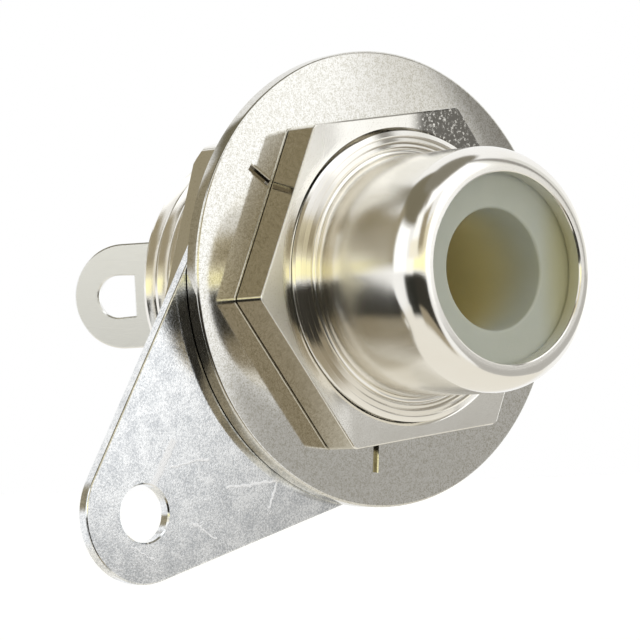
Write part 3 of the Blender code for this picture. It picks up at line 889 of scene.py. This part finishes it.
def washer_material():
    """Nickel plate over punched sheet, finely mottled, with painted shade at the bottom of its slots."""
    material, nodes, shader = new_material("nickel_washer", Metallic=1.0)
    place = nodes.place()
    clouds = nodes.noise(place, 0.55, detail=4.0, roughness=0.55)
    mottle = nodes.noise(place, 7.0, detail=5.0, roughness=0.65)
    speckle = nodes.noise(place, 24.0, detail=2.0)
    mottled = nodes.step(nodes.blend(mottle, speckle, 0.65), 0.34, 0.60)
    colour = nodes.mix(mottled, (0.55, 0.53, 0.465), (0.80, 0.79, 0.755))
    radius = axis_coordinates(nodes)[0]
    # Painted shade: the slots' floors are darkened towards near black brown.
    slot_end = outer_radius("flat_washer") - SLOT_EDGE_MARGIN + SLOT_SHADE_FADE
    within = nodes.step(radius, slot_end + SLOT_SHADE_FADE, slot_end)
    slot_shade = nodes.times(below_face(nodes, "flat_washer", *SLOT_SHADE_DEPTHS), within, 0.6)
    colour = nodes.mix(slot_shade, colour, (0.16, 0.13, 0.09))
    rough = nodes.plus(nodes.scale(clouds, 0.05, 0.10), nodes.scale(mottle, 0.0, 0.03))
    nodes.shade(shader, colour, rough, nodes.bump(nodes.plus(mottle, speckle), 0.0005, 0.6))
    return material


def scratch(nodes, x, z, start, end, half_width):
    """1 along a straight scratch between two (x, z) places, falling to 0 at its sides."""
    run = Vector(end) - Vector(start)
    from_x = nodes.math("SUBTRACT", x, start[0])
    from_z = nodes.math("SUBTRACT", z, start[1])
    along = nodes.plus(
        nodes.times(from_x, run.x / run.length_squared),
        nodes.times(from_z, run.y / run.length_squared),
    )
    along = nodes.math("MINIMUM", nodes.math("MAXIMUM", along, 0.0), 1.0)
    off_x = nodes.math("SUBTRACT", from_x, nodes.times(along, run.x))
    off_z = nodes.math("SUBTRACT", from_z, nodes.times(along, run.y))
    return nodes.step(nodes.length(off_x, off_z), half_width, half_width * SCRATCH_CORE)


def lug_material():
    """Frosted tin plate with handling scratches on its face."""
    material, nodes, shader = new_material("tin_frosted", Metallic=1.0)
    place = nodes.place()
    spot = nodes.split(place)
    clouds = nodes.noise(place, 1.3, detail=4.0, roughness=0.6)
    frost = nodes.noise(place, 15.0, detail=3.0, roughness=0.75)
    waver = nodes.times(nodes.math("SUBTRACT", nodes.noise(place, 3.0, detail=4.0), 0.5), 0.35)
    wavy_x, wavy_z = nodes.plus(spot["X"], waver), nodes.plus(spot["Z"], waver)
    scratched = 0.0
    for start, end, half_width in LUG_SCRATCHES:
        mark = scratch(nodes, wavy_x, wavy_z, start, end, half_width)
        scratched = nodes.math("MAXIMUM", scratched, mark)
    broken = nodes.step(frost, 0.24, 0.46)
    scratched = nodes.times(scratched, broken, below_face(nodes, "ground_lug", *FACE_DEPTHS))
    frosted = nodes.step(nodes.blend(clouds, frost, 0.65), 0.36, 0.62)
    colour = nodes.mix(frosted, (0.56, 0.58, 0.60), (0.99, 1.0, 1.0))
    colour = nodes.mix(scratched, colour, WHITE)
    rough = nodes.plus(nodes.scale(clouds, 0.06, 0.11), nodes.times(scratched, 0.22))
    relief = nodes.plus(frost, nodes.times(scratched, 0.5))
    nodes.shade(shader, colour, rough, nodes.bump(relief, 0.0016, 0.6))
    return material


def tab_material():
    """Matt tin plate over brass sheet, cloudy and finely grained."""
    material, nodes, shader = new_material("tin_matt", Metallic=1.0)
    place = nodes.place()
    clouds = nodes.noise(place, 0.8, detail=4.0)
    grain = nodes.noise(nodes.stretch(place, (4.0, 4.0, 22.0)), 1.0, detail=3.0)
    colour = nodes.mix(clouds, (0.80, 0.80, 0.77), (0.93, 0.935, 0.92))
    rough = nodes.plus(nodes.scale(clouds, 0.15, 0.22), nodes.scale(grain, 0.0, 0.05))
    nodes.shade(shader, colour, rough, nodes.bump(grain, 0.0012, 0.4))
    return material


def nylon_material():
    """Natural nylon: a little see-through, with painted olive shade on its right and painted light down its
    hole.
    """
    material, nodes, shader = new_material(
        "nylon_natural",
        Metallic=0.0,
        Subsurface_Weight=0.25,
        Subsurface_Scale=0.0006,
        Subsurface_Radius=(1.0, 0.9, 0.6),
    )
    place = nodes.place()
    clouds = nodes.noise(place, 1.2, detail=3.0)
    colour = nodes.mix(clouds, (0.46, 0.49, 0.43), (0.52, 0.54, 0.48))
    # Painted shade: darker and more olive towards the right of the face.
    olive_shade = nodes.times(nodes.step(nodes.split(place)["X"], *OLIVE_SHADE_X), 0.8)
    colour = nodes.mix(olive_shade, colour, (0.40, 0.38, 0.19))
    # Painted light: the hole's wall turns lighter and yellower the deeper it goes.
    on_wall = nodes.step(axis_coordinates(nodes)[0], *HOLE_WALL_RADII)
    hole_light = nodes.times(below_face(nodes, "insulator", *HOLE_LIGHT_DEPTHS), on_wall)
    colour = nodes.mix(hole_light, colour, (0.85, 0.77, 0.46))
    grain = nodes.noise(place, 18.0, detail=3.0)
    nodes.shade(shader, colour, nodes.scale(clouds, 0.42, 0.55), nodes.bump(grain, 0.008, 0.35))
    return material


def laminate_material():
    """Pressed brown laminate with paper fibres."""
    material, nodes, shader = new_material("laminate_brown", Metallic=0.0)
    fibres = nodes.noise(nodes.stretch(nodes.place(), (3.0, 12.0, 20.0)), 1.0, detail=5.0, distortion=0.6)
    colour = nodes.mix(fibres, (0.20, 0.11, 0.05), (0.42, 0.27, 0.13))
    nodes.shade(shader, colour, nodes.scale(fibres, 0.45, 0.62), nodes.bump(fibres, 0.01, 0.4))
    return material


def contact_material():
    """Tin over spring brass, with rings from the lathe."""
    material, nodes, shader = new_material("tin_turned", Metallic=1.0)
    marks = turning_marks(nodes, 7.0)
    colour = nodes.mix(marks, (0.72, 0.66, 0.52), (0.88, 0.84, 0.74))
    nodes.shade(shader, colour, nodes.scale(marks, 0.22, 0.36), nodes.bump(marks, 0.006, 0.5))
    return material


WHITE = (1.0, 1.0, 1.0)
WALL_COLOUR = (0.90, 0.90, 0.88)

# Panels round the object, as the photograph's metal mirrors them: (azimuth range, elevation range,
# softness, colour), in degrees. Azimuth 0 is in front of the mouth, and 90 is on the right as one faces
# the mouth. Later panels stand before earlier ones.
ALL_ROUND = (-400, 400)
STUDIO_PANELS = (
    # The table, warm and dimmer than the walls, and the ceiling with its dim left half.
    (ALL_ROUND, (-95, -28), 6, (0.88, 0.85, 0.78)),
    ((-178, -66), (36, 95), 4, (0.20, 0.18, 0.125)),
    ((-50, 40), (46, 64), 3, (1.30, 1.31, 1.32)),
    (ALL_ROUND, (65, 95), 3, (0.24, 0.225, 0.18)),
    # The brown wall and the softbox on the left.
    ((-156, -134), (4, 40), 4, (0.33, 0.29, 0.20)),
    ((-132, -91), (0, 33), 2, (1.28, 1.31, 1.32)),
    # The window over a warm wall, the yellow strip below it and the dim frame beside it.
    ((-74, -46), (22, 46), 4, (1.22, 1.22, 1.20)),
    ((-66, -52), (51, 66), 4, (0.26, 0.23, 0.17)),
    ((-82, -42), (9, 24), 3, (1.02, 0.97, 0.82)),
    ((-42, 2), (9, 26), 3, (0.78, 0.71, 0.52)),
    ((-90, -60), (-1.6, 10), 2, (1.16, 1.14, 1.06)),
    ((-62, 2), (1.2, 9.5), 2, (1.22, 1.15, 0.70)),
    ((-46, -20), (14, 43), 4, (0.34, 0.29, 0.19)),
    # The softbox in front, its dimmer side and the dim wall to its right.
    ((2, 40), (0, 48), 3, (1.34, 1.35, 1.36)),
    ((40, 44), (2.6, 48), 1.6, (0.92, 0.91, 0.88)),
    ((44.5, 56), (1, 70), 1.6, (0.32, 0.31, 0.29)),
    ((56, 76), (-3, 42), 4, (0.80, 0.80, 0.77)),
    ((37.0, 80), (-30, 2.0), 0.5, (0.50, 0.49, 0.47)),
    ((30, 80), (-30, -1.1), 0.7, (0.50, 0.49, 0.47)),
    # The softbox on the right.
    ((80, 134), (-10, 12), 4, (1.20, 1.22, 1.22)),
    # The dark room in front, below the table's edge.
    ((-62, 8), (-42, -8), 6, (0.36, 0.31, 0.22)),
    ((-100, 5), (-26, -3), 2, (0.04, 0.037, 0.03)),
    ((-66, 5), (-23, -1), 2, (0.04, 0.037, 0.03)),
    ((-96, -60), (-36, -4), 4, (0.03, 0.03, 0.025)),
)


def panel_mask(nodes, azimuth, elevation, wide, high, soft):
    """1 inside a panel, falling to 0 round its edges."""
    return nodes.times(
        nodes.step(azimuth, wide[0] - soft, wide[0] + soft),
        nodes.step(azimuth, wide[1] + soft, wide[1] - soft),
        nodes.step(elevation, high[0] - soft, high[0] + soft),
        nodes.step(elevation, high[1] + soft, high[1] - soft),
    )


def make_world():
    """A studio of soft panels, seen as plain white by the camera."""
    world = bpy.data.worlds.new("studio")
    world.use_nodes = True
    bpy.context.scene.world = world
    nodes = Nodes(world.node_tree)
    way = nodes.split(nodes.add("ShaderNodeTexCoord").outputs["Generated"])
    to_degrees = math.degrees(1.0)
    azimuth = nodes.times(nodes.math("ARCTAN2", way["X"], nodes.times(way["Y"], -1.0)), to_degrees)
    elevation = nodes.times(nodes.math("ARCSINE", way["Z"]), to_degrees)
    path = nodes.add("ShaderNodeLightPath").outputs
    mirrored = nodes.math("MAXIMUM", path["Is Glossy Ray"], path["Is Transmission Ray"])
    colour = nodes.mix(mirrored, WALL_COLOUR, WHITE)
    for wide, high, soft, tint in STUDIO_PANELS:
        mask = panel_mask(nodes, azimuth, elevation, wide, high, soft)
        colour = nodes.mix(mask, colour, tint)
    background = world.node_tree.nodes["Background"]
    nodes.feed(background.inputs["Color"], nodes.mix(path["Is Camera Ray"], colour, WHITE))
    background.inputs["Strength"].default_value = 1.0


def make_floor():
    """A pale floor that the camera sees as white outside the object's shadow."""
    mesh = bpy.data.meshes.new("floor")
    half = FLOOR_HALF_SIZE * MM
    level = FLOOR_HEIGHT * MM
    corners = [(-half, -half, level), (half, -half, level), (half, half, level), (-half, half, level)]
    mesh.from_pydata(corners, [], [(0, 1, 2, 3)])
    floor = bpy.data.objects.new("floor", mesh)
    bpy.context.collection.objects.link(floor)
    material, nodes, shader = new_material("floor_paper", Roughness=0.9)
    grain = nodes.noise(nodes.place(), 0.8, detail=3.0)
    nodes.feed(shader.inputs["Base Color"], nodes.mix(grain, (0.84, 0.84, 0.84), (0.87, 0.87, 0.87)))
    nodes.feed(shader.inputs["Emission Color"], WHITE)
    camera_ray = nodes.add("ShaderNodeLightPath").outputs["Is Camera Ray"]
    nodes.feed(shader.inputs["Emission Strength"], nodes.times(camera_ray, FLOOR_GLOW))
    mesh.materials.append(material)
    floor.visible_glossy = False


def make_camera():
    """The photograph's camera."""
    data = bpy.data.cameras.new("camera")
    camera = bpy.data.objects.new("camera", data)
    bpy.context.collection.objects.link(camera)
    data.sensor_width = CAMERA_SENSOR
    data.lens = CAMERA_LENS
    data.clip_start = CAMERA_NEAR * MM
    level = Vector(CAMERA_LOOK).to_track_quat("-Z", "Y").to_matrix()
    turn = level @ Matrix.Rotation(CAMERA_ROLL, 3, "Z")
    camera.matrix_world = Matrix.Translation(Vector(CAMERA_PLACE) * MM) @ turn.to_4x4()
    bpy.context.scene.camera = camera


def dress(piece, node, body, material):
    """Sets a piece in the place of a CAD node."""
    piece.data.materials.clear()
    piece.data.materials.append(material)
    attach(piece, body)
    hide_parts(node)


def paint(node, material):
    """Gives a CAD node that stays a better material."""
    for material_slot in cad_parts[node].material_slots:
        material_slot.material = material


def main():
    """Sets the camera and the studio and dresses every node."""
    bpy.context.scene.view_settings.view_transform = "Standard"
    make_camera()
    make_world()
    make_floor()
    nut_plate = nut_material()
    dress(make_shell(), "shell", "socket", nickel_material())
    dress(make_insulator(), "insulator", "socket", nylon_material())
    dress(make_tab(), "solder_tab", "socket", tab_material())
    dress(make_washer(), "flat_washer", "washer", washer_material())
    front_nut = make_nut("nut_front", "front_nut", FRONT_SPANNER_WIDTH, FRONT_NUT_ANGLE, False)
    dress(front_nut, "front_nut", "nut", nut_plate)
    dress(make_lug(), "ground_lug", "lug", lug_material())
    rear_nut = make_nut("nut_rear", "rear_nut", REAR_SPANNER_WIDTH, REAR_NUT_ANGLE, True)
    dress(rear_nut, "rear_nut", "back_nut", nut_plate)
    paint("rear_insulator", laminate_material())
    paint("centre_contact", contact_material())


main()
